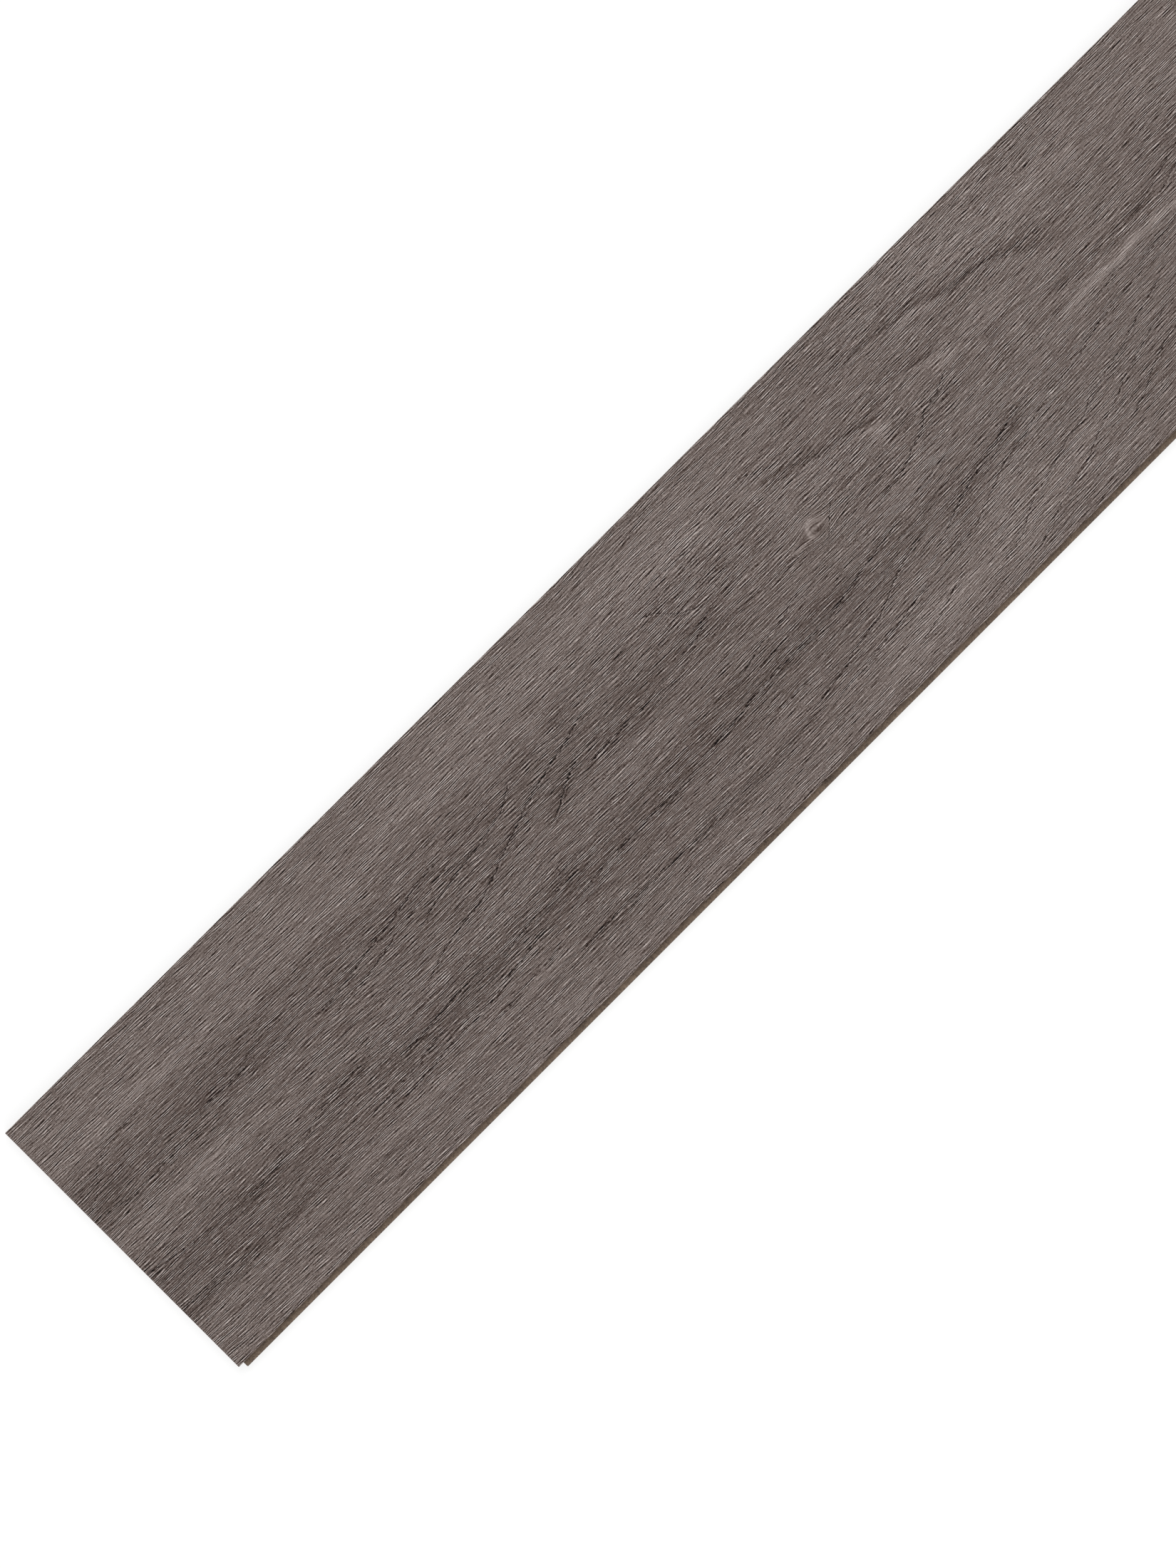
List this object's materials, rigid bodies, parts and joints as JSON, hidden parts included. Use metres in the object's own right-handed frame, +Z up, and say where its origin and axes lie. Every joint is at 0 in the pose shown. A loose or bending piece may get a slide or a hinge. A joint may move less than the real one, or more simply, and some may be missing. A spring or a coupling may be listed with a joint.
{
  "type": "laminate floor plank",
  "caption": "Flat laminate floor plank, wood-grain face with square edges, snap-in tongue and groove on the long sides and the ends.",
  "frame": {"origin": "middle of the underside, below the middle of the decor face; the tongues reach past it", "axes": "+X along the length, from the grooved end to the tongued end; +Y across the width, to the grooved long side; +Z up, to the decor face"},
  "size_m": [1.3836, 0.1966, 0.008],
  "materials": {
    "board": "matte"
  },
  "bodies": {
    "root": {"plank": "board"}
  },
  "joints": []
}
